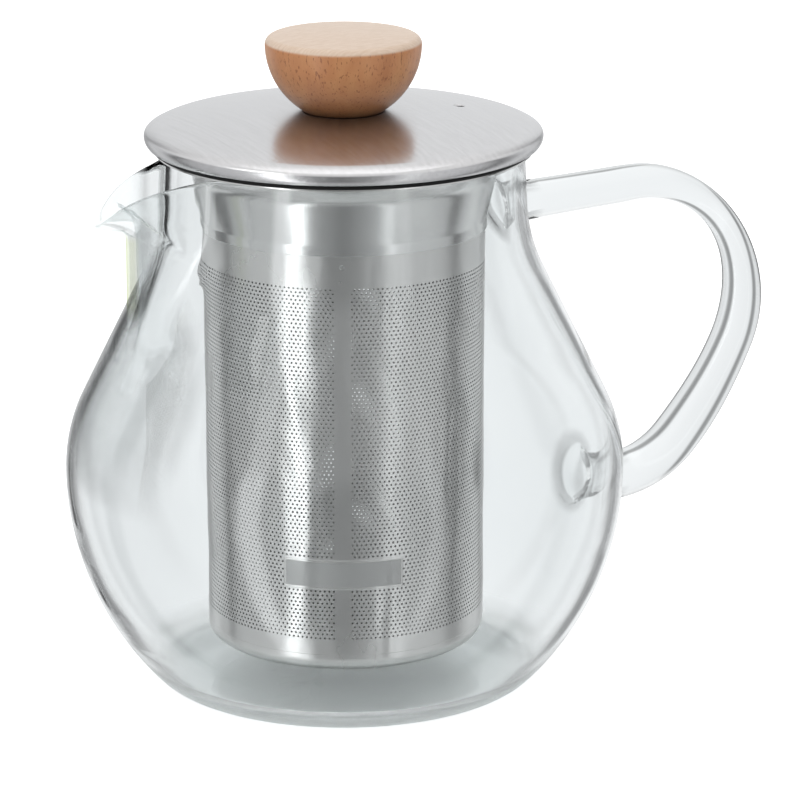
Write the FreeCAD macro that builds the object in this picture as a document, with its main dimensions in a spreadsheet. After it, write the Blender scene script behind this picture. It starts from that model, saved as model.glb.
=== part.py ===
"""Glass teapot with a hanging steel strainer and a steel lid with a turned wooden knob.

Frame: the pot's axis is Z, the bottom of the pot rests on z = 0, the handle points to +X and the
pouring lip to -X. All lengths are millimetres.
"""
import FreeCAD, Part
import math
import os
import Sketcher

DOC = FreeCAD.newDocument("teapot")

# Driving dimensions: alias and value, grouped by the piece they shape.
DIMENSIONS = {
    # blown pot: a belly of two arcs, a straight shoulder slope and a concave sweep into the neck
    "rim_height": 104.9, "neck_radius": 34.5, "neck_slope": 2.75, "wall": 1.9, "floor_thickness": 3.0,
    "belly_radius": 54.0, "belly_height": 42.4, "lower_arc": 57.7, "upper_arc": 31.5,
    "shoulder_slope": 26.3, "shoulder_arc": 33.3, "foot_arc": 8.0,
    # pouring lip: a V-shaped fold whose front edge is upright at the throat and curls out at the lip
    "throat_front": 45.0, "lip_reach": 51.5, "fold_radius": 3.2, "fold_root": 26.0,
    "fold_low": 65.4, "throat_top": 90.9, "lip_underside": 94.7,
    "fold_angle_low": 62.0, "fold_angle_throat": 49.6, "fold_angle_lip": 39.0,
    "lip_cut_start": 25.0, "lip_cut_end": 53.0, "lip_cut_low": 95.3, "lip_cut_arc": 45.0,
    # glass rod handle: short straight arm, tight bend, long back, small return to the belly
    "arm_height": 88.7, "arm_rise": 2.8, "arm_start": 0.01, "arm_end": 62.4, "bend_arc": 24.6,
    "bend_turn": 117.5, "back_arc": 70.9, "back_turn": 18.3, "return_arc": 20.1, "return_turn": 85.0,
    "rod_at_neck": 3.9, "rod_at_arm": 3.7, "rod_at_bend": 2.9, "rod_at_back": 4.5, "rod_at_belly": 4.9,
    # strainer of thin sheet: flange, flared mouth, cone, hem, tube and end cup
    "sheet": 0.4, "flange_radius": 36.15, "flare_top": 31.9, "flare_low": 29.2, "flare_height": 101.1,
    "tube_radius": 26.9, "hem_low": 90.5, "hem_high": 92.5, "tube_low": 10.1, "tube_high": 92.4,
    "cup_low": 8.8, "cup_high": 14.1, "bead_radius": 27.2,
    # lid: shallow dome with a rounded edge and an inward hem
    "lid_radius": 38.0, "lid_top": 112.54, "dome_arc": 215.0, "lid_gauge": 0.8, "crown_arc": 7.7,
    "crown_turn": 30.0,
    "edge_arc": 1.12, "hem_arc": 2.2, "hem_turn": 43.0, "screw_hole": 2.2,
    "vent_radius": 0.9, "vent_offset": 23.8, "vent_angle": -4.3,
    # locating ring under the lid
    "skirt_gauge": 0.5, "skirt_flange": 33.5, "skirt_upper": 31.2, "skirt_lower": 27.6,
    "skirt_cone_high": 105.0, "skirt_cone_low": 100.8, "skirt_low": 98.4,
    # silicone ring
    "seal_lip": 0.8, "seal_lip_radius": 36.5, "seal_radius": 35.8,
    # wooden knob and its fixing
    "knob_foot": 8.2, "knob_radius": 14.9, "knob_edge_height": 125.1, "knob_side_arc": 15.0,
    "knob_edge_arc": 1.6, "crown_rise": 0.6,
    "insert_radius": 3.0, "insert_length": 10.0, "thread_radius": 2.0, "screw_length": 9.0,
    "washer_radius": 5.0, "washer_bore": 2.15, "washer_gauge": 0.8,
    "head_radius": 4.0, "head_height": 2.4, "head_corner": 0.9, "cross_width": 0.9,
    "cross_length": 4.4, "cross_depth": 1.3,
}


# ---------------------------------------------------------------- spreadsheet and small helpers
def make_sheet():
    """Write every driving dimension into the sheet as a plain number with an alias."""
    sheet = DOC.addObject("Spreadsheet::Sheet", "Dims")
    for row, (alias, value) in enumerate(DIMENSIONS.items(), start=1):
        sheet.set(f"A{row}", alias)
        sheet.set(f"B{row}", str(value))
        sheet.setAlias(f"B{row}", alias)
    DOC.recompute()
    return sheet


SHEET = make_sheet()


def bound(text):
    """Turn plain aliases in a formula into references to the sheet's cells."""
    words = ""
    name = ""
    for letter in text + " ":
        if letter.isalnum() or letter == "_":
            name += letter
            continue
        words += ("Dims." + name) if name in DIMENSIONS else name
        name = ""
        words += letter
    return words.strip()


def value(text):
    """The present number of a formula."""
    return float(SHEET.evalExpression(bound(text)))


def bind(thing, prop, text):
    """Drive a property of an object from a formula of the sheet's aliases."""
    thing.setExpression(prop, bound(text))


def new_body(name):
    body = DOC.addObject("PartDesign::Body", name)
    body.Label = name
    return body


def new_sketch(body, role, name, offset="0"):
    """A sketch flat on one of the body's own origin planes, lifted by a formula."""
    sketch = body.newObject("Sketcher::SketchObject", name)
    plane = [feature for feature in body.Origin.OriginFeatures if feature.Role == role][0]
    sketch.AttachmentSupport = [(plane, "")]
    sketch.MapMode = "FlatFace"
    if offset != "0":
        bind(sketch, ".AttachmentOffset.Base.z", offset)
    return sketch


def constrain(sketch, kind, where, formula):
    """Add a dimensional constraint whose value follows a formula."""
    number = sketch.addConstraint(Sketcher.Constraint(kind, *where, value(formula)))
    bind(sketch, f"Constraints[{number}]", formula)


def angle_constraint(sketch, where, formula):
    number = sketch.addConstraint(Sketcher.Constraint("Angle", *where, math.radians(value(formula))))
    sketch.setExpression(f"Constraints[{number}]", f"({bound(formula)}) * 1 deg")


def place(sketch, edge, end, x_formula, y_formula):
    """Tie one end of an edge to a place measured from the sketch's origin."""
    constrain(sketch, "DistanceX", (-1, 1, edge, end), x_formula)
    constrain(sketch, "DistanceY", (-1, 1, edge, end), y_formula)


def arc_between(start, end, radius, turn):
    """The minor arc from start to end; turn is +1 for counter-clockwise and -1 for clockwise."""
    chord = end - start
    rise = math.sqrt(max(radius ** 2 - chord.Length ** 2 / 4, 0.0))
    left = FreeCAD.Vector(-chord.y, chord.x, 0).normalize()
    centre = (start + end) / 2 + left * rise * turn
    first, last = (start, end) if turn > 0 else (end, start)
    angles = [math.atan2(point.y - centre.y, point.x - centre.x) for point in (first, last)]
    circle = Part.Circle(centre, FreeCAD.Vector(0, 0, 1), radius)
    return Part.ArcOfCircle(circle, angles[0], angles[1])


def outline(sketch, corners):
    """Draw a closed outline whose corners are pairs of formulas.

    A corner with two more entries, a radius formula and a turn of +1 or -1, starts an arc.
    """
    points = [FreeCAD.Vector(value(corner[0]), value(corner[1]), 0) for corner in corners]
    count = len(corners)
    for index, corner in enumerate(corners):
        start, end = points[index], points[(index + 1) % count]
        if len(corner) == 4:
            sketch.addGeometry(arc_between(start, end, value(corner[2]), corner[3]), False)
        else:
            sketch.addGeometry(Part.LineSegment(start, end), False)
    first_end = [2 if len(corner) == 4 and corner[3] < 0 else 1 for corner in corners]
    for index, corner in enumerate(corners):
        following = (index + 1) % count
        sketch.addConstraint(Sketcher.Constraint(
            "Coincident", index, 3 - first_end[index], following, first_end[following]))
        place(sketch, index, first_end[index], corner[0], corner[1])
        if len(corner) == 4:
            constrain(sketch, "Radius", (index,), corner[2])
    DOC.recompute()


def revolve(body, sketch, name):
    """Turn a sketch of the XZ plane once round the pot's axis."""
    turned = body.newObject("PartDesign::Revolution", name)
    turned.Profile = sketch
    turned.ReferenceAxis = (sketch, ["V_Axis"])
    turned.Angle = 360.0
    DOC.recompute()
    return turned


def turned_body(name, corners):
    """A body of revolution from one closed outline of (radius, height) corners."""
    body = new_body(name)
    sketch = new_sketch(body, "XZ_Plane", name + "_section")
    outline(sketch, corners)
    revolve(body, sketch, name + "_turned")
    return body


def loft(body, sketches, name):
    """Join several closed sketches into one ruled solid."""
    joined = body.newObject("PartDesign::AdditiveLoft", name)
    joined.Profile = sketches[0]
    joined.Sections = sketches[1:]
    joined.Ruled = True
    DOC.recompute()
    return joined


def subtract(name, base, tool):
    """A Part boolean: base less tool, under its own label."""
    cut = DOC.addObject("Part::Cut", name)
    cut.Base = base
    cut.Tool = tool
    cut.Label = name
    DOC.recompute()
    return cut


# ---------------------------------------------------------------- glass
def pot_section(sketch, inset, floor, top):
    """Half outline of the blown pot, drawn inset from the outer skin, closed along the axis."""
    inset_by, floor_at, top_at = value(inset), value(floor), value(top)
    lower, upper = value("lower_arc") - inset_by, value("upper_arc") - inset_by
    sweep, foot = value("shoulder_arc") + inset_by, value("foot_arc")
    belly, height = value("belly_radius"), value("belly_height")
    slope, neck = math.radians(value("shoulder_slope")), math.radians(value("neck_slope"))
    low_x, up_x = belly - value("lower_arc"), belly - value("upper_arc")
    foot_x = low_x + math.sqrt((lower - foot) ** 2 - (height - floor_at - foot) ** 2)
    foot_angle = math.atan2(floor_at + foot - height, foot_x - low_x)
    slope_start = FreeCAD.Vector(up_x + upper * math.cos(slope), height + upper * math.sin(slope), 0)
    neck_top = FreeCAD.Vector(
        value("neck_radius") - inset_by + (value("rim_height") - top_at) * math.tan(neck), top_at, 0)
    reach = (slope_start - neck_top).dot(FreeCAD.Vector(math.cos(neck), math.sin(neck), 0))
    run = (reach + sweep * (math.cos(slope - neck) - 1)) / math.sin(slope - neck)
    slope_end = slope_start + FreeCAD.Vector(-math.sin(slope), math.cos(slope), 0) * run
    sweep_centre = slope_end + FreeCAD.Vector(math.cos(slope), math.sin(slope), 0) * sweep
    neck_low = sweep_centre - FreeCAD.Vector(math.cos(neck), math.sin(neck), 0) * sweep

    def arc(x, y, radius, start, end):
        circle = Part.Circle(FreeCAD.Vector(x, y, 0), FreeCAD.Vector(0, 0, 1), radius)
        return Part.ArcOfCircle(circle, start, end)

    def line(start, end):
        return Part.LineSegment(start, end)

    axis_low, axis_top = FreeCAD.Vector(0, floor_at, 0), FreeCAD.Vector(0, top_at, 0)
    base, corner, low, up, shoulder, curve, collar, lid, axis = sketch.addGeometry([
        line(axis_low, FreeCAD.Vector(foot_x, floor_at, 0)),
        arc(foot_x, floor_at + foot, foot, -math.pi / 2, foot_angle),
        arc(low_x, height, lower, foot_angle, 0.0),
        arc(up_x, height, upper, 0.0, slope),
        line(slope_start, slope_end),
        arc(sweep_centre.x, sweep_centre.y, sweep, math.pi + neck, math.pi + slope),
        line(neck_low, neck_top),
        line(neck_top, axis_top),
        line(axis_top, axis_low),
    ], False)
    smooth = [(base, 2, corner, 1), (corner, 2, low, 1), (low, 2, up, 1), (up, 2, shoulder, 1),
              (shoulder, 2, curve, 2), (curve, 1, collar, 1)]
    sharp = [(collar, 2, lid, 1), (lid, 2, axis, 1), (axis, 2, base, 1)]
    for joint in smooth:
        sketch.addConstraint(Sketcher.Constraint("Tangent", *joint))
    for joint in sharp:
        sketch.addConstraint(Sketcher.Constraint("Coincident", *joint))
    sketch.addConstraint(Sketcher.Constraint("Horizontal", base))
    sketch.addConstraint(Sketcher.Constraint("Horizontal", lid))
    sketch.addConstraint(Sketcher.Constraint("PointOnObject", axis, 1, -2))
    sketch.addConstraint(Sketcher.Constraint("PointOnObject", axis, 2, -2))
    constrain(sketch, "Radius", (corner,), "foot_arc")
    constrain(sketch, "Radius", (low,), f"lower_arc - {inset}")
    constrain(sketch, "Radius", (up,), f"upper_arc - {inset}")
    constrain(sketch, "Radius", (curve,), f"shoulder_arc + {inset}")
    place(sketch, low, 2, f"belly_radius - {inset}", "belly_height")
    constrain(sketch, "DistanceY", (-1, 1, low, 3), "belly_height")
    angle_constraint(sketch, (shoulder,), "90 + shoulder_slope")
    angle_constraint(sketch, (collar,), "90 + neck_slope")
    place(sketch, collar, 2, f"neck_radius - {inset} + (rim_height - {top}) * tan(neck_slope)", top)
    constrain(sketch, "DistanceY", (-1, 1, axis, 2), floor)
    DOC.recompute()


def fold_section(sketch, front, angle, inset):
    """V-shaped plan section of the pouring fold, pointing to -X, with a rounded front edge."""
    radius = f"(fold_radius - {inset})"
    centre = f"({front} - fold_radius)"
    touch_x = f"-{centre} - {radius} * sin({angle})"
    touch_y = f"{radius} * cos({angle})"
    spread = f"({centre} + {radius} * sin({angle}) - fold_root) * tan({angle}) + {touch_y}"
    outline(sketch, [
        ("-fold_root", f"-({spread})"),
        ("-fold_root", spread),
        (touch_x, touch_y, radius, 1),
        (touch_x, f"-{touch_y}"),
    ])


def pot_solid(name, inset, floor, top, rise):
    """The pot with its pouring fold as one filled solid, inset from the outer skin."""
    body = new_body(name)
    section = new_sketch(body, "XZ_Plane", name + "_section")
    pot_section(section, inset, floor, top)
    revolve(body, section, name + "_turned")
    levels = [
        ("fold_low", "throat_front", "fold_angle_low"),
        (f"throat_top + {rise}", "throat_front", "fold_angle_throat"),
        (f"lip_underside + {rise}", "lip_reach", "fold_angle_lip"),
        (top, "lip_reach", "fold_angle_lip"),
    ]
    sketches = []
    for number, (height, front, angle) in enumerate(levels):
        sketch = new_sketch(body, "XY_Plane", f"{name}_fold_{number}", height)
        fold_section(sketch, front, angle, inset)
        sketches.append(sketch)
    loft(body, sketches, name + "_fold")
    return body


def lip_cutter():
    """Everything above the drooping edge of the pouring lip."""
    body = new_body("lip_cutter")
    sketch = new_sketch(body, "XZ_Plane", "lip_side_view")
    outline(sketch, [
        ("-lip_cut_end", "lip_cut_low", "lip_cut_arc", -1),
        ("-lip_cut_start", "rim_height"),
        ("-lip_cut_start", "rim_height + 5"),
        ("-lip_cut_end - 5", "rim_height + 5"),
        ("-lip_cut_end - 5", "lip_cut_low"),
    ])
    pad = body.newObject("PartDesign::Pad", "lip_cut")
    pad.Profile = sketch
    pad.Midplane = True
    bind(pad, "Length", "belly_radius * 2")
    DOC.recompute()
    return body


def handle_path(body):
    """Centre line of the handle in the XZ plane: an arm, then three tangent clockwise arcs."""
    sketch = new_sketch(body, "XZ_Plane", "handle_path")
    heading = math.radians(value("arm_rise"))
    along = FreeCAD.Vector(math.cos(heading), math.sin(heading), 0)
    start = FreeCAD.Vector(value("arm_start"), value("arm_height"), 0)
    corner = start + along * ((value("arm_end") - start.x) / along.x)
    sketch.addGeometry(Part.LineSegment(start, corner), False)
    for bend in ("bend", "back", "return"):
        radius, turn = value(bend + "_arc"), math.radians(value(bend + "_turn"))
        centre = corner + FreeCAD.Vector(math.sin(heading), -math.cos(heading), 0) * radius
        circle = Part.Circle(centre, FreeCAD.Vector(0, 0, 1), radius)
        ahead = heading + math.pi / 2
        sketch.addGeometry(Part.ArcOfCircle(circle, ahead - turn, ahead), False)
        heading -= turn
        corner = centre + FreeCAD.Vector(-math.sin(heading), math.cos(heading), 0) * radius
    place(sketch, 0, 1, "arm_start", "arm_height")
    constrain(sketch, "DistanceX", (-1, 1, 0, 2), "arm_end")
    angle_constraint(sketch, (0,), "arm_rise")
    for edge, bend in enumerate(("bend", "back", "return"), start=1):
        joint = (edge - 1, 2 if edge == 1 else 1, edge, 2)
        sketch.addConstraint(Sketcher.Constraint("Tangent", *joint))
        constrain(sketch, "Radius", (edge,), bend + "_arc")
        number = sketch.addConstraint(
            Sketcher.Constraint("Angle", edge, math.radians(value(bend + "_turn"))))
        sketch.setExpression(f"Constraints[{number}]", f"{bound(bend + '_turn')} * 1 deg")
    DOC.recompute()
    return sketch


def rod_section(body, path, edge, share, radius, number):
    """A round section square to the path, a share of the way along one of its edges."""
    sketch = body.newObject("Sketcher::SketchObject", f"rod_section_{number}")
    sketch.AttachmentSupport = [(path, edge)]
    sketch.MapMode = "NormalToEdge"
    sketch.MapPathParameter = share
    circle = Part.Circle(FreeCAD.Vector(0, 0, 0), FreeCAD.Vector(0, 0, 1), value(radius))
    sketch.addGeometry(circle, False)
    sketch.addConstraint(Sketcher.Constraint("Coincident", 0, 3, -1, 1))
    constrain(sketch, "Radius", (0,), radius)
    DOC.recompute()
    return sketch


def handle_rod():
    """The bent rod, thinned where it was stretched round the bend, running into the pot."""
    body = new_body("handle_rod")
    path = handle_path(body)
    stations = [("Edge1", 0.0, "rod_at_neck"), ("Edge1", 1.0, "rod_at_arm"),
                ("Edge2", 0.5, "rod_at_bend"), ("Edge3", 0.5, "rod_at_back"),
                ("Edge4", 0.0, "rod_at_belly")]
    sections = [rod_section(body, path, edge, share, radius, number)
                for number, (edge, share, radius) in enumerate(stations)]
    pipe = body.newObject("PartDesign::AdditivePipe", "rod_sweep")
    pipe.Profile = sections[0]
    pipe.Spine = (path, [])
    pipe.Transformation = "Multisection"
    pipe.Sections = sections[1:]
    DOC.recompute()
    return body


def make_glass():
    skin = pot_solid("pot_skin", "0", "0", "rim_height", "0")
    cavity = pot_solid("pot_cavity", "wall", "floor_thickness", "rim_height + 1", "wall")
    shell = subtract("pot_shell", skin, cavity)
    body = subtract("glass_body", shell, lip_cutter())
    handle = subtract("glass_handle", handle_rod(), skin)
    return [body, handle]


# ---------------------------------------------------------------- strainer
def make_strainer():
    collar = turned_body("strainer_collar", [
        ("tube_radius", "hem_low"),
        ("tube_radius + sheet", "hem_low"),
        ("tube_radius + sheet", "hem_high"),
        ("flare_low", "flare_height"),
        ("flare_top", "rim_height"),
        ("flange_radius", "rim_height"),
        ("flange_radius", "rim_height + sheet"),
        ("flare_top - sheet / 2", "rim_height + sheet"),
        ("flare_low - sheet", "flare_height"),
        ("tube_radius", "hem_high"),
    ])
    tube = turned_body("strainer_wall", [
        ("tube_radius - sheet", "tube_low"),
        ("tube_radius", "tube_low"),
        ("tube_radius", "tube_high"),
        ("tube_radius - sheet", "tube_high"),
    ])
    cup = turned_body("strainer_bottom", [
        ("0", "cup_low"),
        ("bead_radius - sheet", "cup_low", "sheet", 1),
        ("bead_radius", "cup_low + sheet"),
        ("bead_radius", "tube_low"),
        ("tube_radius - sheet", "tube_low"),
        ("tube_radius - sheet", "cup_high"),
        ("tube_radius - sheet * 2", "cup_high"),
        ("tube_radius - sheet * 2", "cup_low + sheet"),
        ("0", "cup_low + sheet"),
    ])
    return [collar, tube, cup]


# ---------------------------------------------------------------- lid
def dome_height(radius, inset):
    """Height of the lid's dome at a radius, inset from the outer skin."""
    return f"(lid_top - dome_arc + sqrt((dome_arc - {inset}) ^ 2 - ({radius}) ^ 2))"


def lid_edge(inset):
    """Corners of the lid's rounded edge, from the dome to the hem, inset from the outer skin."""
    crown, edge, hem = (f"({name} - {inset})" for name in ("crown_arc", "edge_arc", "hem_arc"))
    crown_x = "(lid_radius - edge_arc - (crown_arc - edge_arc) * sin(crown_turn))"
    crown_y = dome_height(crown_x, "crown_arc")
    share = f"({crown} / (dome_arc - crown_arc))"
    edge_x = "(lid_radius - edge_arc)"
    edge_y = f"({crown_y} + (crown_arc - edge_arc) * cos(crown_turn))"
    hem_x = "(lid_radius - hem_arc)"
    return [
        (f"{crown_x} * (1 + {share})", f"{crown_y} + ({crown_y} - lid_top + dome_arc) * {share}", crown, -1),
        (f"{crown_x} + {crown} * sin(crown_turn)", f"{crown_y} + {crown} * cos(crown_turn)", edge, -1),
        (f"{edge_x} + {edge}", edge_y, hem, -1),
        (f"{hem_x} + {hem} * cos(hem_turn)", f"{edge_y} - {hem} * sin(hem_turn)"),
    ]


def backwards(corners):
    """The same corners walked the other way, with each arc kept on its own pair of corners."""
    back = []
    for index in range(len(corners) - 1, -1, -1):
        corner = corners[index][:2]
        before = corners[index - 1] if index > 0 else ()
        back.append(corner + ((before[2], -before[3]) if len(before) == 4 else ()))
    return back


def hole_through(body, sketch_name, name, x_formula, y_formula, radius, height):
    """A round hole cut straight down through a body from a plane above it."""
    sketch = new_sketch(body, "XY_Plane", sketch_name, height)
    centre = FreeCAD.Vector(value(x_formula), value(y_formula), 0)
    sketch.addGeometry(Part.Circle(centre, FreeCAD.Vector(0, 0, 1), value(radius)), False)
    place(sketch, 0, 3, x_formula, y_formula)
    constrain(sketch, "Radius", (0,), radius)
    volume = body.Shape.Volume
    pocket = body.newObject("PartDesign::Pocket", name)
    pocket.Profile = sketch
    pocket.Type = 1
    DOC.recompute()
    if body.Shape.Volume >= volume:
        raise RuntimeError(name + " cut nothing")


def make_lid_plate():
    hole = [("screw_hole", dome_height("screw_hole", "lid_gauge")),
            ("screw_hole", dome_height("screw_hole", "0"), "dome_arc", -1)]
    under = backwards(lid_edge("lid_gauge"))
    under[-1] += ("dome_arc - lid_gauge", 1)
    plate = turned_body("lid_plate", hole + lid_edge("0") + under)
    hole_through(plate, "vent_place", "vent_hole", "vent_offset * cos(vent_angle)",
                 "vent_offset * sin(vent_angle)", "vent_radius", "lid_top + 1")
    return plate


def make_lid_skirt():
    outer_seat = dome_height("skirt_flange", "lid_gauge")
    inner_seat = dome_height("skirt_upper - skirt_gauge", "lid_gauge")
    return turned_body("lid_skirt", [
        ("skirt_lower - skirt_gauge", "skirt_low"),
        ("skirt_lower", "skirt_low"),
        ("skirt_lower", "skirt_cone_low"),
        ("skirt_upper", "skirt_cone_high"),
        ("skirt_upper", f"{outer_seat} - skirt_gauge"),
        ("skirt_flange", f"{outer_seat} - skirt_gauge"),
        ("skirt_flange", outer_seat),
        ("skirt_upper - skirt_gauge", inner_seat),
        ("skirt_upper - skirt_gauge", "skirt_cone_high"),
        ("skirt_lower - skirt_gauge", "skirt_cone_low"),
    ])


def make_lid_gasket():
    seat = "(rim_height + sheet)"
    top = dome_height("skirt_flange", "lid_gauge") + " - skirt_gauge"
    return turned_body("lid_gasket", [
        ("skirt_upper", seat),
        ("seal_lip_radius", seat),
        ("seal_lip_radius", f"{seat} + seal_lip"),
        ("seal_radius", f"{seat} + seal_lip"),
        ("seal_radius", top),
        ("skirt_upper", top),
    ])


def make_knob():
    crown_half = "(knob_radius - knob_edge_arc)"
    crown_arc = f"({crown_half} ^ 2 + crown_rise ^ 2) / (2 * crown_rise)"
    return turned_body("knob", [
        ("insert_radius", "lid_top"),
        ("knob_foot", "lid_top", "knob_side_arc", 1),
        ("knob_radius", "knob_edge_height", "knob_edge_arc", 1),
        (crown_half, "knob_edge_height + knob_edge_arc", crown_arc, 1),
        ("0", "knob_edge_height + knob_edge_arc + crown_rise"),
        ("0", "lid_top + insert_length"),
        ("insert_radius", "lid_top + insert_length"),
    ])


def make_knob_insert():
    return turned_body("knob_insert", [
        ("thread_radius", "lid_top"),
        ("insert_radius", "lid_top"),
        ("insert_radius", "lid_top + insert_length"),
        ("thread_radius", "lid_top + insert_length"),
    ])


def make_screw_washer():
    top = dome_height("washer_radius", "lid_gauge")
    return turned_body("screw_washer", [
        ("washer_bore", f"{top} - washer_gauge"),
        ("washer_radius", f"{top} - washer_gauge"),
        ("washer_radius", top),
        ("washer_bore", top),
    ])


def make_knob_screw():
    seat = "(" + dome_height("washer_radius", "lid_gauge") + " - washer_gauge)"
    low = f"({seat} - head_height)"
    screw = turned_body("knob_screw", [
        ("0", low),
        ("head_radius - head_corner", low, "head_corner", 1),
        ("head_radius", f"{low} + head_corner"),
        ("head_radius", seat),
        ("thread_radius", seat),
        ("thread_radius", "lid_top + screw_length"),
        ("0", "lid_top + screw_length"),
    ])
    for number, (wide, long) in enumerate((("cross_width", "cross_length"), ("cross_length", "cross_width"))):
        sketch = new_sketch(screw, "XY_Plane", f"cross_{number}", low)
        outline(sketch, [(f"-{wide} / 2", f"-{long} / 2"), (f"{wide} / 2", f"-{long} / 2"),
                         (f"{wide} / 2", f"{long} / 2"), (f"-{wide} / 2", f"{long} / 2")])
        volume = screw.Shape.Volume
        slot = screw.newObject("PartDesign::Pocket", f"cross_slot_{number}")
        slot.Profile = sketch
        slot.Reversed = True
        bind(slot, "Length", "cross_depth")
        DOC.recompute()
        if screw.Shape.Volume >= volume:
            raise RuntimeError("the screw's cross slot cut nothing")
    return screw


# ---------------------------------------------------------------- build, check and write
def check(nodes):
    """Stop if any object failed to rebuild or any piece is not one valid solid."""
    for thing in DOC.Objects:
        if any(word in thing.State for word in ("Invalid", "Error")):
            raise RuntimeError(f"{thing.Label} did not rebuild: {thing.State}")
    for node in nodes:
        if node.Shape.isNull() or not node.Shape.isValid() or len(node.Shape.Solids) != 1:
            raise RuntimeError(f"{node.Label} is not one valid solid")


def main():
    nodes = make_glass() + make_strainer() + [
        make_lid_plate(), make_lid_skirt(), make_lid_gasket(), make_knob(), make_knob_insert(),
        make_knob_screw(), make_screw_washer(),
    ]
    DOC.recompute()
    check(nodes)
    os.makedirs("parts", exist_ok=True)
    for node in nodes:
        node.Shape.exportStep(os.path.join("parts", node.Label + ".step"))
        print(f"{node.Label}: {node.Shape.Volume:.1f} mm3")


main()
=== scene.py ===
"""Looks of the glass teapot: pot, hanging strainer, lid and wooden knob.

Shapes are worked out in millimetres in the part's frame (Z up, pouring lip to -X, handle to +X) and
written as metres; angles in the dictionaries are degrees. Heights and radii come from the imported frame
where a box can give them; the dictionaries hold the rest.
"""
import math
import random
from contextlib import contextmanager

import bmesh
import bpy
import numpy as np
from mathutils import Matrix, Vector
from mathutils.geometry import delaunay_2d_cdt


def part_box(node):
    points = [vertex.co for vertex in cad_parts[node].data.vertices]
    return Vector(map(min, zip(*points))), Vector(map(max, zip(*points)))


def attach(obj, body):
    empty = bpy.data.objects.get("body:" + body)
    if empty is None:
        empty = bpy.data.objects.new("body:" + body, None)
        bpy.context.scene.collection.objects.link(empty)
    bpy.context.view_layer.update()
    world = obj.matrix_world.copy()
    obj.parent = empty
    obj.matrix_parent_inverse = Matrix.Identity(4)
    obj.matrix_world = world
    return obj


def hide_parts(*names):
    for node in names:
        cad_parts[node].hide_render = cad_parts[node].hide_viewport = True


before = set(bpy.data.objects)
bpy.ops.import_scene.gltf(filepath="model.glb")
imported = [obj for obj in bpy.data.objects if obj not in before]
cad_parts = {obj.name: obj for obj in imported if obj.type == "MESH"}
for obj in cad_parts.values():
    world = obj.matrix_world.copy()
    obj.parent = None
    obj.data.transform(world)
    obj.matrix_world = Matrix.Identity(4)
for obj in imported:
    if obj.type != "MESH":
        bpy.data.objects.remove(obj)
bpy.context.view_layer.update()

MM = 0.001
TAU = 2 * math.pi
VIEW_TURN = math.radians(26.0)  # how far the viewing direction is turned from +Y towards +X
ALONG_VIEW = np.array([math.sin(VIEW_TURN), math.cos(VIEW_TURN), 0.0])
ACROSS_VIEW = np.array([math.cos(VIEW_TURN), -math.sin(VIEW_TURN), 0.0])


def top(node):
    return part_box(node)[1].z / MM


def low(node):
    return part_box(node)[0].z / MM


def reach(node):
    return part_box(node)[1].y / MM


RIM = top("glass_body")
BELLY = reach("glass_body")
TUBE = reach("strainer_wall")
SHEET = top("strainer_collar") - RIM
LID_TOP = top("lid_plate")
LID_RADIUS = reach("lid_plate")

# The pot's half outline: foot arc, belly arcs below and above its widest height, sweep into the neck.
POT = {
    "neck": 34.5, "neck_slope": 2.75, "wall": 1.9, "floor": 3.1, "inner_foot": 10.0, "foot": 8.0,
    "belly_height": 42.4, "lower_arc": 57.7, "upper_arc": 31.5, "slope": 26.3, "sweep": 33.3,
    "kick_up": 0.9, "kick_radius": 28.5, "inner_from": 12.4,
}
# The pouring lip: how far it reaches, how its rim falls, its ledge, and how wide it is up its height.
LIP = {
    "throat": 45.0, "reach": 51.2, "soft": 1.3, "drop": 9.3, "fall": 7.3,
    "ledge": 93.6, "ledge_span": 1.05, "ledge_slack": 0.5, "floor": 1.9,
    "half_top": 16.3, "half_low": 6.0, "narrow_from": 70.4, "narrow_to": 94.4, "toe": 0.10,
    "moved_above": 76.4,
}
# The handle: a rising arm, then three bends as (radius, turn), and the two welds as (radius, height).
ROD = {
    "height": 88.7, "rise": 2.8, "arm_end": 62.4,
    "arcs": [(24.6, 117.5), (70.9, 18.3), (20.1, 69.7)],
    "weld_upper": (34.5, 90.4), "weld_lower": (53.3, 33.6), "flare": 1.5, "flare_length": 1.6,
}


def piece(name, points, faces, material, body, stands_for=(), crease=None):
    """A mesh object from points in millimetres that rides on a body."""
    mesh = bpy.data.meshes.new(name)
    mesh.from_pydata((np.asarray(points, float) * MM).tolist(), [], [list(face) for face in faces])
    mesh.materials.append(material)
    mesh.shade_smooth()
    if crease is not None:
        mesh.set_sharp_from_angle(angle=math.radians(crease))
    obj = bpy.data.objects.new(name, mesh)
    bpy.context.scene.collection.objects.link(obj)
    if body:
        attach(obj, body)
        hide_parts(*stands_for)
    return obj


@contextmanager
def editing(obj):
    """The mesh of obj, open for editing."""
    mesh = bmesh.new()
    mesh.from_mesh(obj.data)
    yield mesh
    mesh.to_mesh(obj.data)
    mesh.free()


def face_outwards(obj, merge=False):
    """Turns every face outwards, after joining points that coincide if merge is set."""
    with editing(obj) as mesh:
        if merge:
            bmesh.ops.remove_doubles(mesh, verts=mesh.verts, dist=1e-7)
        bmesh.ops.recalc_face_normals(mesh, faces=mesh.faces)


def round_grid(rows, columns):
    """Quads between rings of points; each ring has its points in order and closes on itself."""
    ring = np.arange(rows - 1)[:, None] * columns
    here = np.arange(columns)
    after = (here + 1) % columns
    quads = np.stack([ring + here, ring + after, ring + columns + after, ring + columns + here], -1)
    return quads.reshape(-1, 4).tolist()


def closing_fans(rows, columns):
    """Triangles from two more points, added after a round grid, to its first and its last ring."""
    first_end, last_end = rows * columns, rows * columns + 1
    last, faces = (rows - 1) * columns, []
    for column in range(columns):
        after = (column + 1) % columns
        faces += [[first_end, after, column], [last_end, last + column, last + after]]
    return faces


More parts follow.
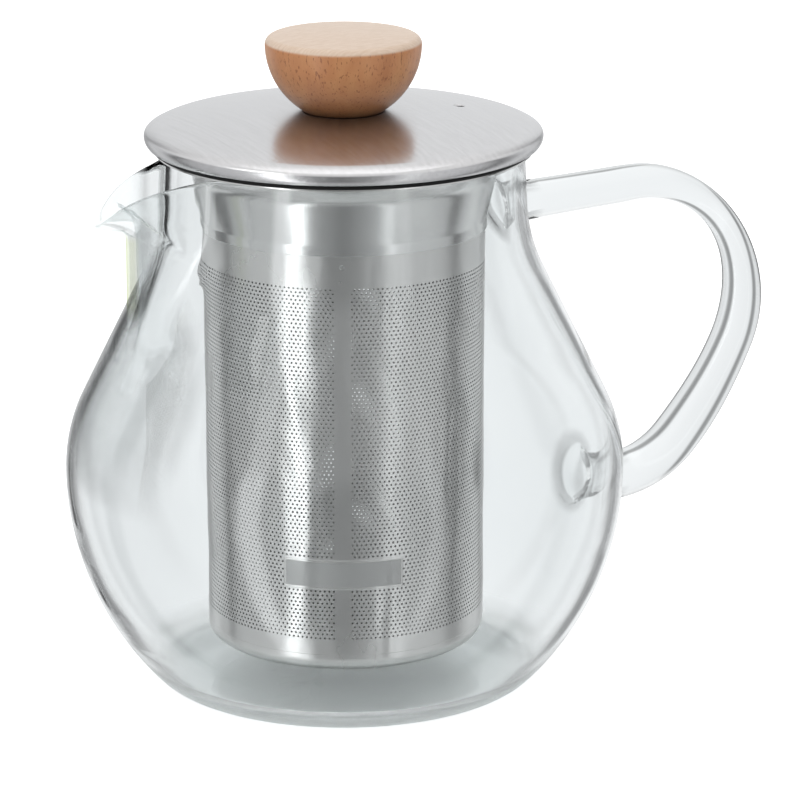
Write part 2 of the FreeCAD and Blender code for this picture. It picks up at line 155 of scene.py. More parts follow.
def arc(centre, radius, start, end, steps):
    """Points on an arc about a centre, angles in degrees."""
    angles = np.radians(np.linspace(start, end, steps + 1))
    return np.stack([centre[0] + radius * np.cos(angles), centre[1] + radius * np.sin(angles)], -1)


def arc_between(start, end, radius, steps):
    """Points of the minor arc that goes counter-clockwise from start to end."""
    start, end = np.array(start, float), np.array(end, float)
    chord = end - start
    half = np.hypot(*chord) / 2
    left = np.array([-chord[1], chord[0]]) / (2 * half)
    centre = (start + end) / 2 + left * math.sqrt(max(radius ** 2 - half ** 2, 0.0))
    first = math.atan2(*(start - centre)[::-1])
    sweep = 2 * math.asin(min(half / radius, 1.0))
    angles = first + np.linspace(0, 1, steps + 1) * sweep
    return np.stack([centre[0] + radius * np.cos(angles), centre[1] + radius * np.sin(angles)], -1)


def rounded(corners):
    """A closed outline with each corner (radius, height, rounding) eased.

    A corner never takes more than half of the straight run on either side of it.
    """
    most, steps = 0.49, 5
    points = np.array([corner[:2] for corner in corners], float)
    line = []
    for index, corner in enumerate(corners):
        here = points[index]
        before, after = points[index - 1] - here, points[(index + 1) % len(points)] - here
        size = corner[2] if len(corner) > 2 else 0.0
        if size == 0.0:
            line.append(here)
            continue
        before_length, after_length = np.hypot(*before), np.hypot(*after)
        before, after = before / before_length, after / after_length
        half = math.acos(np.clip(before @ after, -1, 1)) / 2
        cut = min(size / math.tan(half), before_length * most, after_length * most)
        for share in np.linspace(0, 1, steps + 1):
            line.append(here + before * cut * (1 - share) ** 2 + after * cut * share ** 2)
    return np.array(line)


def turned(name, outline, material, body, stands_for=(), segments=256, crease=35):
    """A closed outline of (radius, height) turned round Z."""
    outline = np.asarray(outline, float)
    outline = np.vstack([outline, outline[:1]])
    angles = np.arange(segments) * TAU / segments
    radius, height = outline[:, :1], outline[:, 1:]
    points = np.stack([radius * np.cos(angles), radius * np.sin(angles), height + 0 * angles], -1)
    faces = round_grid(len(outline), segments)
    obj = piece(name, points.reshape(-1, 3), faces, material, body, stands_for)
    face_outwards(obj, merge=True)
    obj.data.set_sharp_from_angle(angle=math.radians(crease))
    return obj


def boolean(obj, cutter, operation):
    """Joins or cuts obj with cutter for good, and removes the cutter."""
    modifier = obj.modifiers.new("cut", "BOOLEAN")
    modifier.operation, modifier.solver, modifier.object = operation, "EXACT", cutter
    graph = bpy.context.evaluated_depsgraph_get()
    made = bpy.data.meshes.new_from_object(obj.evaluated_get(graph))
    obj.modifiers.clear()
    obj.data = made
    bpy.data.objects.remove(cutter)


# ---------------------------------------------------------------- node helpers
class Nodes:
    """A node tree built step by step; each helper adds nodes and returns the socket they end in."""

    def __init__(self, tree):
        self.tree = tree

    def node(self, kind, inputs=None, **settings):
        made = self.tree.nodes.new("ShaderNode" + kind)
        for key, value in settings.items():
            setattr(made, key, value)
        for key, value in (inputs or {}).items():
            self.put(made, key, value)
        return made

    def put(self, node, key, value):
        socket = node.inputs[key]
        if isinstance(value, bpy.types.NodeSocket):
            self.tree.links.new(value, socket)
        else:
            socket.default_value = value

    def place(self, scale=(1, 1, 1), turn=(0, 0, 0)):
        """Object coordinates in millimetres, turned and then multiplied by scale."""
        coordinates = self.node("TexCoord").outputs["Object"]
        scaled = tuple(value / MM for value in scale)
        return self.node("Mapping", {"Vector": coordinates, "Scale": scaled, "Rotation": turn}).outputs[0]

    def noise(self, scale, detail=2.0, rough=0.5, twist=0.0, turn=(0, 0, 0)):
        """Noise with about as many features to the millimetre along each axis as scale says."""
        inputs = {"Vector": self.place(scale, turn), "Scale": 1.0, "Detail": detail, "Roughness": rough,
                  "Distortion": twist}
        return self.node("TexNoise", inputs).outputs["Fac"]

    def ramp(self, value, stops, smooth=False):
        made = self.node("ValToRGB", {"Fac": value})
        made.color_ramp.interpolation = "EASE" if smooth else "LINEAR"
        elements = made.color_ramp.elements
        while len(elements) < len(stops):
            elements.new(0.5)
        for element, (place, colour) in zip(elements, stops):
            element.position = place
            element.color = (*colour, 1) if isinstance(colour, tuple) else (colour, colour, colour, 1)
        return made.outputs["Color"]

    def maths(self, operation, first, second=0.0):
        return self.node("Math", {0: first, 1: second}, operation=operation).outputs[0]

    def product(self, first, *others):
        for other in others:
            first = self.maths("MULTIPLY", first, other)
        return first

    def greatest(self, first, *others):
        for other in others:
            first = self.maths("MAXIMUM", first, other)
        return first

    def height(self, vector):
        return self.node("SeparateXYZ", {"Vector": vector}).outputs["Z"]

    def mix(self, share, first, second, kind="MIX"):
        made = self.node("MixRGB", {"Fac": share, "Color1": first, "Color2": second}, blend_type=kind)
        return made.outputs[0]

    def spread(self, value, start, end):
        """value from 0 to 1 moved onto start to end."""
        made = self.node("MapRange", {"Value": value, "To Min": start, "To Max": end})
        return made.outputs[0]

    def window(self, value, start, end):
        """0 where value is at start, 1 where it is at end, and straight in between."""
        made = self.node("MapRange", {"Value": value, "From Min": start, "From Max": end})
        return made.outputs[0]

    def bump(self, height, distance, strength=1.0, under=None):
        inputs = {"Height": height, "Distance": distance * MM, "Strength": strength}
        if under is not None:
            inputs["Normal"] = under
        return self.node("Bump", inputs).outputs[0]

    def blend(self, share, first, second):
        """A mix of two shaders."""
        return self.node("MixShader", {0: share, 1: first, 2: second}).outputs[0]


class Look(Nodes):
    """A node material round one Principled shader."""

    def __init__(self, name, **values):
        self.material = bpy.data.materials.new(name)
        self.material.use_nodes = True
        super().__init__(self.material.node_tree)
        self.shader = self.tree.nodes["Principled BSDF"]
        self.set(**values)

    def set(self, **values):
        for key, value in values.items():
            self.put(self.shader, key.replace("_", " "), value)

    def end_in(self, shader):
        """Makes shader the surface, instead of the Principled shader alone."""
        self.put(self.tree.nodes["Material Output"], "Surface", shader)


def rgb(red, green, blue):
    return (red, green, blue, 1.0)


# ---------------------------------------------------------------- materials
# Patches of the glass that look softer than true glass, in millimetres. Each pair runs from where the
# patch has faded out to where it is full: along X, up Z, and sideways from the lip's middle.
GLASS_PATCHES = {
    "lip": ((-36.0, -40.0), (66.0, 73.0), (15.0, 9.0)),
    "beak_front": ((-40.8, -42.2), (58.0, 63.0), (4.5, 2.5)),
    "below_beak": ((-36.5, -41.0), (42.0, 56.0), (24.0, 12.0)),
}
WELD_PATCHES = {"weld_upper": (8.0, 4.5), "weld_lower": (9.5, 5.5)}
TINTED_FRONT, TINT_LOW, TINT_HIGH = (-43.4, -44.2), (76.0, 79.0), (93.0, 91.5)
LOWEST_GLASS = (5.0, 1.0)
GLASS_INDEX, SOFT_INDEX = 1.474, 1.13


def clear_glass():
    """Borosilicate glass: faint blue-grey, slightly uneven from blowing, lets lamps through.

    At the lip and the welds it bends light less, and there, at the front of the beak and at the foot some
    light goes straight through, so that thick glass stays pale.
    """
    look = Look("clear_glass", Transmission_Weight=1.0)
    spot = look.place()
    sides = look.node("SeparateXYZ", {"Vector": spot}).outputs
    beside = look.maths("ABSOLUTE", sides["Y"])

    def patch(name):
        along, up, sideways = GLASS_PATCHES[name]
        return look.product(look.window(sides["X"], *along), look.window(sides["Z"], *up),
                            look.window(beside, *sideways))

    welds = 0.0
    for weld, (faded, full) in WELD_PATCHES.items():
        radius, height = ROD[weld]
        away = look.node("VectorMath", {0: spot, 1: (radius, 0, height)}, operation="DISTANCE")
        welds = look.greatest(welds, look.window(away.outputs["Value"], faded, full))
    soft = look.greatest(patch("lip"), welds)
    front = look.product(look.window(sides["X"], *TINTED_FRONT), look.window(sides["Z"], *TINT_LOW),
                         look.window(sides["Z"], *TINT_HIGH))
    wide = look.noise((0.03, 0.03, 0.05), 2.0)
    tint = look.ramp(wide, [(0.3, (0.955, 0.972, 0.974)), (0.7, (0.968, 0.982, 0.983))])
    look.set(Base_Color=look.mix(look.product(front, 0.8), tint, rgb(0.84, 0.87, 0.70)),
             Roughness=look.spread(look.noise((0.4, 0.4, 0.4), 3.0), 0.0, 0.012),
             Normal=look.bump(wide, 0.35, 0.5), IOR=look.spread(soft, GLASS_INDEX, SOFT_INDEX))

    rays = look.node("LightPath").outputs
    foot = look.window(sides["Z"], *LOWEST_GLASS)
    straight = look.greatest(rays["Is Shadow Ray"], rays["Is Diffuse Ray"],
                             look.product(patch("below_beak"), 0.62), look.product(patch("beak_front"), 0.85),
                             look.product(welds, 0.45), look.product(foot, 0.55))
    through = look.mix(front, rgb(0.93, 0.945, 0.945), rgb(0.86, 0.89, 0.77))
    clear = look.node("BsdfTransparent", {"Color": through}).outputs[0]
    look.end_in(look.blend(straight, look.shader.outputs[0], clear))
    return look.material


def polished_steel():
    """Spun stainless steel with faint turning lines."""
    look = Look("polished_steel", Metallic=1.0)
    lines = look.noise((0.02, 0.02, 9.0), 3.0, 0.7)
    cloud = look.noise((0.12, 0.12, 0.12), 3.0)
    look.set(Base_Color=look.mix(cloud, rgb(0.66, 0.66, 0.655), rgb(0.76, 0.755, 0.745)),
             Roughness=look.spread(lines, 0.12, 0.26), Normal=look.bump(lines, 0.02, 0.35))
    return look.material


def satin_steel(name, light, dark, rough):
    """Thin etched sheet: an even satin finish with soft rolled clouds and shallow dents."""
    look = Look(name, Metallic=1.0)
    cloud = look.noise((0.08, 0.08, 0.05), 3.0)
    dents = look.bump(look.noise((0.085, 0.085, 0.03), 1.5, 0.5, 0.8), 1.3, 0.5)
    look.set(Base_Color=look.mix(cloud, light, dark), Roughness=look.spread(cloud, rough, rough + 0.06),
             Normal=dents)
    return look.material


def brushed_lid_steel():
    """Straight hairline brushing that stretches what it reflects across the lines."""
    look = Look("brushed_lid_steel", Metallic=1.0, Anisotropic=0.75)
    turn = (0, 0, VIEW_TURN)
    fine = look.noise((14.0, 0.05, 14.0), 3.0, 0.8, turn=turn)
    coarse = look.noise((1.6, 0.02, 1.6), 2.0, turn=turn)
    lines = look.mix(0.35, fine, coarse)
    grain = look.node("VectorTransform", {"Vector": tuple(ALONG_VIEW)},
                      vector_type="VECTOR", convert_from="OBJECT", convert_to="WORLD").outputs[0]
    look.set(Base_Color=look.ramp(lines, [(0.3, (0.585, 0.58, 0.585)), (0.7, (0.72, 0.715, 0.725))]),
             Roughness=look.spread(lines, 0.14, 0.26), Normal=look.bump(lines, 0.02, 0.4),
             Tangent=grain)
    return look.material


def black_silicone():
    look = Look("black_silicone", Specular_IOR_Level=0.15)
    dust = look.noise((3.0, 3.0, 3.0), 4.0)
    look.set(Base_Color=look.ramp(dust, [(0.3, 0.006), (0.8, 0.014)]),
             Roughness=look.spread(dust, 0.4, 0.62), Normal=look.bump(dust, 0.03, 0.5))
    return look.material


def light_wood():
    """Lacquered pale wood: end grain on the crown, long grain with dark flecks down the sides, and painted
    shade towards the foot.
    """
    look = Look("light_wood", Coat_Weight=0.25, Coat_Roughness=0.25)
    turn = (0.0, 0.0, 0.5)
    clouds = look.noise((0.22, 0.22, 0.07), 3.0, 0.55, 0.3, turn=turn)
    fibres = look.noise((3.2, 3.2, 0.16), 3.0, 0.6, turn=turn)
    fleck_field = look.noise((2.6, 2.6, 0.75), 2.0, 0.6, turn=turn)
    flecks = look.ramp(fleck_field, [(0.585, 0.0), (0.66, 1.0)])
    warm = look.ramp(clouds, [(0.3, (0.47, 0.185, 0.066)), (0.5, (0.55, 0.235, 0.092)),
                              (0.7, (0.62, 0.30, 0.122))])
    warm = look.mix(look.spread(fibres, 0.0, 0.4), warm, rgb(0.47, 0.19, 0.068))
    warm = look.mix(look.product(flecks, 0.7), warm, rgb(0.24, 0.075, 0.026))
    # Painted shade: the wood darkens towards the foot, where the knob sits low over the lid.
    painted_foot_shade = look.ramp(look.window(look.height(look.place()), low("knob"), low("knob") + 12),
                     [(0.0, 0.30), (0.16, 0.58), (0.42, 0.84), (0.8, 1.0)])
    warm = look.mix(1.0, warm, painted_foot_shade, "MULTIPLY")
    up = look.height(look.node("NewGeometry").outputs["Normal"])
    crown = look.ramp(up, [(0.15, 0.0), (0.5, 1.0)], smooth=True)
    pale = look.ramp(look.noise((0.5, 2.6, 0.5), 4.0, 0.6, turn=turn),
                     [(0.35, (0.66, 0.49, 0.36)), (0.65, (0.74, 0.58, 0.455))])
    look.set(Base_Color=look.mix(crown, warm, pale), Roughness=look.spread(fibres, 0.32, 0.5),
             Normal=look.bump(look.mix(0.5, fibres, flecks), 0.04, 0.4))
    return look.material


def small_metal(name, light, dark, rough):
    look = Look(name, Metallic=1.0)
    marks = look.noise((2.0, 2.0, 2.0), 4.0, 0.7)
    look.set(Base_Color=look.mix(marks, light, dark), Roughness=look.spread(marks, rough, rough + 0.15),
             Normal=look.bump(marks, 0.03, 0.3))
    return look.material


# ---------------------------------------------------------------- pot
def pot_outline(inset, floor, foot):
    """Half outline of the pot from the middle of its base to its rim, inset from the outer skin."""
    widest_step, finest_step, growth = 1.0, 0.14, 0.02
    lower, upper, sweep = POT["lower_arc"] - inset, POT["upper_arc"] - inset, POT["sweep"] + inset
    slope, neck = math.radians(POT["slope"]), math.radians(POT["neck_slope"])
    height = POT["belly_height"]
    low_x, up_x = BELLY - POT["lower_arc"], BELLY - POT["upper_arc"]
    foot_x = low_x + math.sqrt((lower - foot) ** 2 - (height - floor - foot) ** 2)
    foot_angle = math.degrees(math.atan2(floor + foot - height, foot_x - low_x))
    slope_start = np.array([up_x + upper * math.cos(slope), height + upper * math.sin(slope)])
    neck_top = np.array([POT["neck"] - inset, RIM])
    to_neck = (slope_start - neck_top) @ np.array([math.cos(neck), math.sin(neck)])
    run = (to_neck + sweep * (math.cos(slope - neck) - 1)) / math.sin(slope - neck)
    slope_end = slope_start + np.array([-math.sin(slope), math.cos(slope)]) * run
    centre = slope_end + np.array([math.cos(slope), math.sin(slope)]) * sweep
    parts = [
        np.array([[0.0, floor], [foot_x, floor]]),
        arc((foot_x, floor + foot), foot, -90, foot_angle, 16),
        arc((low_x, height), lower, foot_angle, 0, 80),
        arc((up_x, height), upper, 0, POT["slope"], 24),
        arc(centre, sweep, 180 + POT["slope"], 180 + POT["neck_slope"], 24),
        neck_top[None],
    ]
    line = np.vstack(parts)
    along = np.concatenate([[0], np.cumsum(np.hypot(*np.diff(line, axis=0).T))])
    keep = np.concatenate([[True], np.diff(along) > 1e-6])
    line, along = line[keep], along[keep]
    spots, here = [], along[-1]
    while here > 0:
        spots.append(here)
        here -= min(widest_step, finest_step + growth * (along[-1] - here))
    spots = np.array(spots[::-1])
    return np.stack([np.interp(spots, along, line[:, 0]), np.interp(spots, along, line[:, 1])], -1)


def pot_columns(count):
    """Turns from the pouring lip, closer together at the lip and at the handle's welds."""
    turn = np.linspace(-math.pi, math.pi, 4001)
    weight = 1 + 3 * np.exp(-(turn / 0.22) ** 2) + 1.5 * np.exp(-((math.pi - abs(turn)) / 0.2) ** 2)
    share = np.concatenate([[0], np.cumsum((weight[1:] + weight[:-1]) / 2)])
    return np.interp(np.arange(count) / count, share / share[-1], turn)


def soft_degrees(turn):
    """Degrees from the pouring lip, rounded off at its crease."""
    return np.sqrt(np.degrees(turn) ** 2 + LIP["soft"] ** 2) - LIP["soft"]


def rim_line(turn):
    """Height of the pot's rim at each turn from the lip; it sinks quickly towards the pouring tip."""
    return RIM - LIP["drop"] * np.exp(-soft_degrees(turn) / LIP["fall"])


def lip_radius(base, turn, height, raised=0.0):
    """Plan radius where a narrow pleated beak stands out of the round neck of radius base.

    The beak's front is upright at the throat and steps out to the pouring tip on a flat ledge.
    """
    degrees = soft_degrees(turn)
    ledge = LIP["ledge"] + raised - LIP["ledge_slack"] * degrees
    out = np.clip((height - ledge) / (LIP["ledge_span"] + LIP["ledge_slack"] * degrees), 0, 1)
    swell = 0.06 * np.clip(1 - (ledge - height) / 2.5, 0, 1) ** 2
    front = LIP["throat"] + (LIP["reach"] - LIP["throat"]) * np.maximum(out, swell)
    rise = np.clip((height - LIP["narrow_from"]) / (LIP["narrow_to"] - LIP["narrow_from"]), 0, 1)
    half = LIP["half_low"] + (LIP["half_top"] - LIP["half_low"]) * rise ** 2 * (3 - 2 * rise)
    beside = (1 - degrees / half) / LIP["toe"]
    side = LIP["toe"] * np.logaddexp(0, beside)
    return base + np.maximum(front - base, 0) * side


def inset_plan(radius, turn, wall):
    """Plan radius of a skin moved inwards by wall, square to its outline at each height."""
    inner = radius - wall
    for shift in range(-24, 25):
        other, gap = np.roll(radius, shift, axis=1), np.roll(turn, shift) - turn
        gap = (gap + math.pi) % TAU - math.pi
        inside = wall ** 2 - (other * np.sin(gap)) ** 2
        near = other * np.cos(gap) - np.sqrt(np.maximum(inside, 0))
        inner = np.where((inside > 0) & (abs(gap) < 0.2), np.minimum(inner, near), inner)
    return inner


def waviness(points, seed, size):
    """Gentle random unevenness of blown glass, the same on every run."""
    draw = random.Random(seed)
    total = np.zeros(points.shape[:-1])
    for _ in range(7):
        wave = np.array([draw.uniform(-1, 1) for _ in range(3)]) * 0.16
        total += np.sin(points @ wave + draw.uniform(0, TAU))
    return total * size / 7


def weld_puddles(points):
    """How far the inside bulges in behind the two handle welds."""
    bulge = np.zeros(points.shape[:-1])
    for (radius, height), width, depth in ((ROD["weld_upper"], 5.0, 0.25), (ROD["weld_lower"], 5.5, 0.5)):
        away = np.linalg.norm(points - np.array([radius, 0, height]), axis=-1)
        bulge += depth * np.exp(-(away / width) ** 2)
    return bulge


def around(radius, turn, height):
    """Points at a plan radius and height, counted round from the pouring lip."""
    return np.stack([-radius * np.cos(turn), -radius * np.sin(turn), height + 0 * turn], -1)


def wall_side(inset, floor, foot):
    """The part of the pot's half outline whose height only rises, as heights and radii."""
    line = pot_outline(inset, floor, foot)
    start = int(np.searchsorted(line[:, 1], floor + 0.05))
    return line[start:, 1], line[start:, 0]


def pot_shell(material):
    """The blown cup with its pouring lip: outer skin, fire-polished rim and inner skin in one mesh."""
    turn = pot_columns(264)
    outline = pot_outline(0.0, 0.0, POT["foot"])[1:]
    base, level = outline[:, :1], outline[:, 1:]
    half_wall = POT["wall"] / 2
    rim = rim_line(turn)
    stretch = (rim - half_wall - LIP["moved_above"]) / (RIM - LIP["moved_above"])
    height = np.where(level > LIP["moved_above"],
                      LIP["moved_above"] + (level - LIP["moved_above"]) * stretch, level + 0 * turn)
    upright = level[:, 0] > LIP["moved_above"] - 12
    round_radius = np.where(upright[:, None], np.interp(height, *wall_side(0.0, 0.0, POT["foot"])), base)
    radius = np.where(upright[:, None], lip_radius(round_radius, turn, height), round_radius)
    lift = POT["kick_up"] * np.clip(1 - (base / POT["kick_radius"]) ** 2, 0, 1) ** 2
    skin = around(radius, turn, height + lift)

    first = int(np.searchsorted(level[:, 0], POT["inner_from"]))
    inner_round = np.interp(height[first:], *wall_side(POT["wall"], POT["floor"], POT["inner_foot"]))
    wall = round_radius[first:] - inner_round
    shifted = lip_radius(round_radius[first:], turn, height[first:], raised=LIP["floor"])
    inner_radius = inset_plan(np.where(upright[first:, None], shifted, round_radius[first:]), turn, wall)
    inner = around(inner_radius, turn, height[first:])
    inner_radius = inner_radius - waviness(inner, 3, 0.12) - weld_puddles(inner)
    inner = around(inner_radius, turn, height[first:])
    floor_line = pot_outline(POT["wall"], POT["floor"], POT["inner_foot"])[1:]
    floor_line = floor_line[floor_line[:, 1] < height[first].min() - 0.4]
    rise = 0.8 * POT["kick_up"] * np.clip(1 - (floor_line[:, :1] / POT["kick_radius"]) ** 2, 0, 1) ** 2
    floor = around(floor_line[:, :1], turn, floor_line[:, 1:] + rise)

    middle, half = (skin[-1] + inner[-1]) / 2, (skin[-1] - inner[-1]) / 2
    swell = np.minimum(np.linalg.norm(half, axis=-1, keepdims=True), half_wall) * np.array([0, 0, 1.0])
    polish = [middle + half * math.copysign(abs(math.cos(angle)) ** 0.8, math.cos(angle))
              + swell * math.sin(angle) ** 0.8 for angle in np.linspace(0, math.pi, 13)[1:-1]]
    rings = np.concatenate([skin, np.array(polish), inner[::-1], floor[::-1]])
    count = len(turn)
    ends = [[0, 0, lift.max()], [0, 0, POT["floor"] + rise.max()]]
    points = np.vstack([rings.reshape(-1, 3), ends])
    faces = round_grid(len(rings), count) + closing_fans(len(rings), count)
    return piece("teapot_glass", points, faces, material, "pot", ("glass_body", "glass_handle"))


def handle_line():
    """Centre line, heading and radius of the rod, from the neck weld to the belly weld."""
    step = 0.9
    heading = math.radians(ROD["rise"])
    spot = np.array([0.0, ROD["height"]])
    start = ROD["weld_upper"][0] - POT["wall"] / 2
    line, headings = [], []
    for x in np.arange(start, ROD["arm_end"], step):
        line.append(spot + (x - spot[0]) * np.array([1, math.tan(heading)]))
        headings.append(heading)
    spot = spot + (ROD["arm_end"] - spot[0]) * np.array([1, math.tan(heading)])
    for radius, turn in ROD["arcs"]:
        centre = spot + radius * np.array([math.sin(heading), -math.cos(heading)])
        count = int(radius * math.radians(turn) / step)
        for share in np.arange(1, count + 1) / count:
            now = heading - math.radians(turn) * share
            line.append(centre + radius * np.array([-math.sin(now), math.cos(now)]))
            headings.append(now)
        heading -= math.radians(turn)
        spot = line[-1]
    return np.array(line), np.array(headings)


def rod_radius(share):
    """Radius along the rod: thinnest where it was stretched round the bend, thickest at the belly."""
    stations = [0.0, 0.19, 0.38, 0.62, 0.80, 1.0]
    radii = [3.9, 3.7, 2.9, 4.3, 4.8, 4.7]
    index = np.clip(np.searchsorted(stations, share, side="right") - 1, 0, len(stations) - 2)
    part = (share - np.take(stations, index)) / (np.take(stations, index + 1) - np.take(stations, index))
    ease = (1 - np.cos(np.pi * np.clip(part, 0, 1))) / 2
    return np.take(radii, index) * (1 - ease) + np.take(radii, index + 1) * ease


def handle_rod(material):
    """The bent glass rod, with both ends spread where they melt into the pot."""
    line, heading = handle_line()
    sides = 48
    length = np.concatenate([[0], np.cumsum(np.hypot(*np.diff(line, axis=0).T))])
    radius = rod_radius(length / length[-1])
    half_wall = POT["wall"] / 2
    for distance in (length - half_wall, length[-1] - length - half_wall - 0.6):
        radius = radius + ROD["flare"] * np.exp(-np.clip(distance, 0, None) / ROD["flare_length"])
    turns = np.arange(sides) * TAU / sides
    outward = np.stack([-np.sin(heading), 0 * heading, np.cos(heading)], -1)
    centre = np.stack([line[:, 0], 0 * heading, line[:, 1]], -1)
    side = np.array([0.0, 1.0, 0.0])
    rings = (centre[:, None] + radius[:, None, None] * (
        outward[:, None] * np.cos(turns)[:, None] + side * np.sin(turns)[:, None]))
    for end in (0, -1):
        target = np.interp(rings[end, :, 2], *wall_side(half_wall, 1.0, POT["foot"]))
        rings[end, :, 0] = np.sqrt(np.maximum(target ** 2 - rings[end, :, 1] ** 2, 1.0))
    points = np.vstack([rings.reshape(-1, 3), [rings[0].mean(0), rings[-1].mean(0)]])
    faces = round_grid(len(rings), sides) + closing_fans(len(rings), sides)
    obj = piece("handle_rod_cutter", points, faces, material, None)
    face_outwards(obj)
    return obj


def melt_seam(obj):
    """Softens the glass where the rod meets the pot, so that the weld reads as one melt."""
    passes, reach_out = 5, 3.4
    with editing(obj) as mesh:
        bmesh.ops.triangulate(mesh, faces=[face for face in mesh.faces if len(face.verts) > 4])
        near = []
        for vert in mesh.verts:
            x, y, z = np.array(vert.co) / MM
            plan = math.hypot(x, y)
            for (radius, height), wide in ((ROD["weld_upper"], 7.5), (ROD["weld_lower"], 8.5)):
                outside = plan > radius - POT["wall"] * 0.6 - abs(z - height) * 0.35
                close = math.hypot(y, z - height) < wide and abs(plan - radius) < reach_out
                if x > 0 and outside and close:
                    near.append(vert)
        for _ in range(passes):
            bmesh.ops.smooth_vert(mesh, verts=near, factor=0.5, use_axis_x=True, use_axis_y=True,
                                  use_axis_z=True)
    obj.data.shade_smooth()


def make_pot(material):
    pot = pot_shell(material)
    boolean(pot, handle_rod(material), "UNION")
    melt_seam(pot)


# ---------------------------------------------------------------- strainer
HOLES = {
    "around": 193, "row": 0.766, "radius": 0.215, "first": 15.8, "rows": 90, "bands": 5,
    "seam_half": 1.6, "plate_low": 25.1, "plate_high": 31.6, "plate_half": 11.8,
    "seam_turn": -math.pi / 2 - VIEW_TURN, "sheet_low": 12.5,
}


def has_hole(turn, height):
    """False on the welded seam and on the blank stamped plate."""
    off = abs((turn - HOLES["seam_turn"] + math.pi) % TAU - math.pi) * TUBE
    on_plate = off < HOLES["plate_half"] and HOLES["plate_low"] < height < HOLES["plate_high"]
    return off > HOLES["seam_half"] and not on_plate


def hole_band(number, first_row, last_row, material):
    """Some rows of the perforated tube. Each hole sits in its own six-sided cell, rows staggered."""
    around, row = HOLES["around"], HOLES["row"]
    pitch = TAU / around
    short = (row ** 2 - (pitch * TUBE / 2) ** 2) / (2 * row)
    tall = row - short
    skins = (TUBE, TUBE - SHEET)
    points, faces, index_of = [], [], {}

    def point(half_turns, height, skin):
        key = (half_turns % (2 * around), round(height, 4), skin)
        if key not in index_of:
            angle = HOLES["seam_turn"] + key[0] * pitch / 2
            index_of[key] = len(points)
            points.append((skins[skin] * math.cos(angle), skins[skin] * math.sin(angle), height))
        return index_of[key]

    def skin_face(corners, skin):
        faces.append(corners if skin == 0 else corners[::-1])

    for number_of_row in range(first_row, last_row):
        height = HOLES["first"] + number_of_row * row
        for column in range(around):
            middle = 2 * column + number_of_row % 2
            turn = HOLES["seam_turn"] + middle * pitch / 2
            rim = [(1, 0), (1, short), (0, tall), (-1, short), (-1, 0), (-1, -short), (0, -tall), (1, -short)]
            loops = [[point(middle + step, height + up, skin) for step, up in rim] for skin in (0, 1)]
            if not has_hole(turn, height):
                skin_face(loops[0], 0)
                skin_face(loops[1], 1)
                continue
            start = len(points)
            for skin in skins:
                for corner in range(8):
                    angle = turn + HOLES["radius"] * math.cos(corner * TAU / 8) / TUBE
                    up = height + HOLES["radius"] * math.sin(corner * TAU / 8)
                    points.append((skin * math.cos(angle), skin * math.sin(angle), up))
            for corner in range(8):
                after = (corner + 1) % 8
                for skin in (0, 1):
                    hole = start + 8 * skin
                    skin_face([loops[skin][corner], loops[skin][after], hole + after, hole + corner], skin)
                faces.append([start + corner, start + after, start + 8 + after, start + 8 + corner])

    def edge(at_row, sign):
        """Keys of the zigzag line that bounds a row, in half turns round the tube."""
        height = HOLES["first"] + at_row * row
        line = []
        for half in range(2 * around):
            centred = (half - at_row) % 2 == 0
            line.append((half, height + sign * (tall if centred else short)))
        return line

    def solid_strip(line, end_height):
        """Plain sheet from a zigzag line to a straight edge."""
        levels = np.linspace(0, 1, 5)[1:]
        before = line
        for level in levels:
            after = [(half, start[1] + (end_height - start[1]) * level)
                     for (half, _), start in zip(line, line)]
            for here in range(2 * around):
                there = (here + 1) % (2 * around)
                for skin in (0, 1):
                    corners = [point(*before[here], skin), point(*before[there], skin),
                               point(*after[there], skin), point(*after[here], skin)]
                    upward = end_height > line[0][1]
                    skin_face(corners if upward else corners[::-1], skin)
            before = after
        return before

    bottom, above = edge(first_row, -1), edge(last_row - 1, 1)
    if number == 1:
        bottom = solid_strip(bottom, HOLES["sheet_low"] + 0.02)
    if number == HOLES["bands"]:
        above = solid_strip(above, top("strainer_wall") - 1.0)
    for line, flip in ((bottom, False), (above, True)):
        for here in range(2 * around):
            there = (here + 1) % (2 * around)
            corners = [point(*line[here], 0), point(*line[here], 1),
                       point(*line[there], 1), point(*line[there], 0)]
            faces.append(corners[::-1] if flip else corners)
    stands_for = ("strainer_wall",) if number == 1 else ()
    return piece(f"strainer_band_{number}", points, faces, material, "strainer", stands_for, crease=25)


def make_tube(material):
    cuts = np.linspace(0, HOLES["rows"], HOLES["bands"] + 1).round().astype(int)
    for number in range(HOLES["bands"]):
        hole_band(number + 1, int(cuts[number]), int(cuts[number + 1]), material)


def curved_patch(name, half_width, low_edge, high_edge, height_of, material, columns=80, rows=24):
    """A thin raised patch on the tube, centred on the seam; height_of gives its rise at each spot."""
    across = np.linspace(-1, 1, columns)
    up = np.linspace(0, 1, rows)
    grid = []
    for share in up:
        for side in across:
            radius = TUBE + height_of(side, share)
            angle = HOLES["seam_turn"] + side * half_width / TUBE
            grid.append((radius * math.cos(angle), radius * math.sin(angle),
                         low_edge + (high_edge - low_edge) * share))
    faces = [[r * columns + c, r * columns + c + 1, (r + 1) * columns + c + 1, (r + 1) * columns + c]
             for r in range(rows - 1) for c in range(columns - 1)]
    return piece(name, grid, faces, material, "strainer", crease=40)


def make_name_plate(field_material, border_material):
    """The stamped rectangle, left blank: a matt field inside a slim bright frame."""
    half, low_edge, high_edge = 11.6, 25.35, 31.25
    frame_width = 0.5

    def frame_rise(side, share):
        edge = min((1 - abs(side)) * half, share * (high_edge - low_edge),
                   (1 - share) * (high_edge - low_edge))
        return 0.005 + 0.09 * math.sin(math.pi * min(edge / frame_width, 1.0))

    curved_patch("strainer_plate_frame", half, low_edge, high_edge, frame_rise, border_material,
                 columns=200, rows=60)
    curved_patch("strainer_plate_field", half - frame_width, low_edge + frame_width,
                 high_edge - frame_width, lambda side, share: 0.03, field_material)


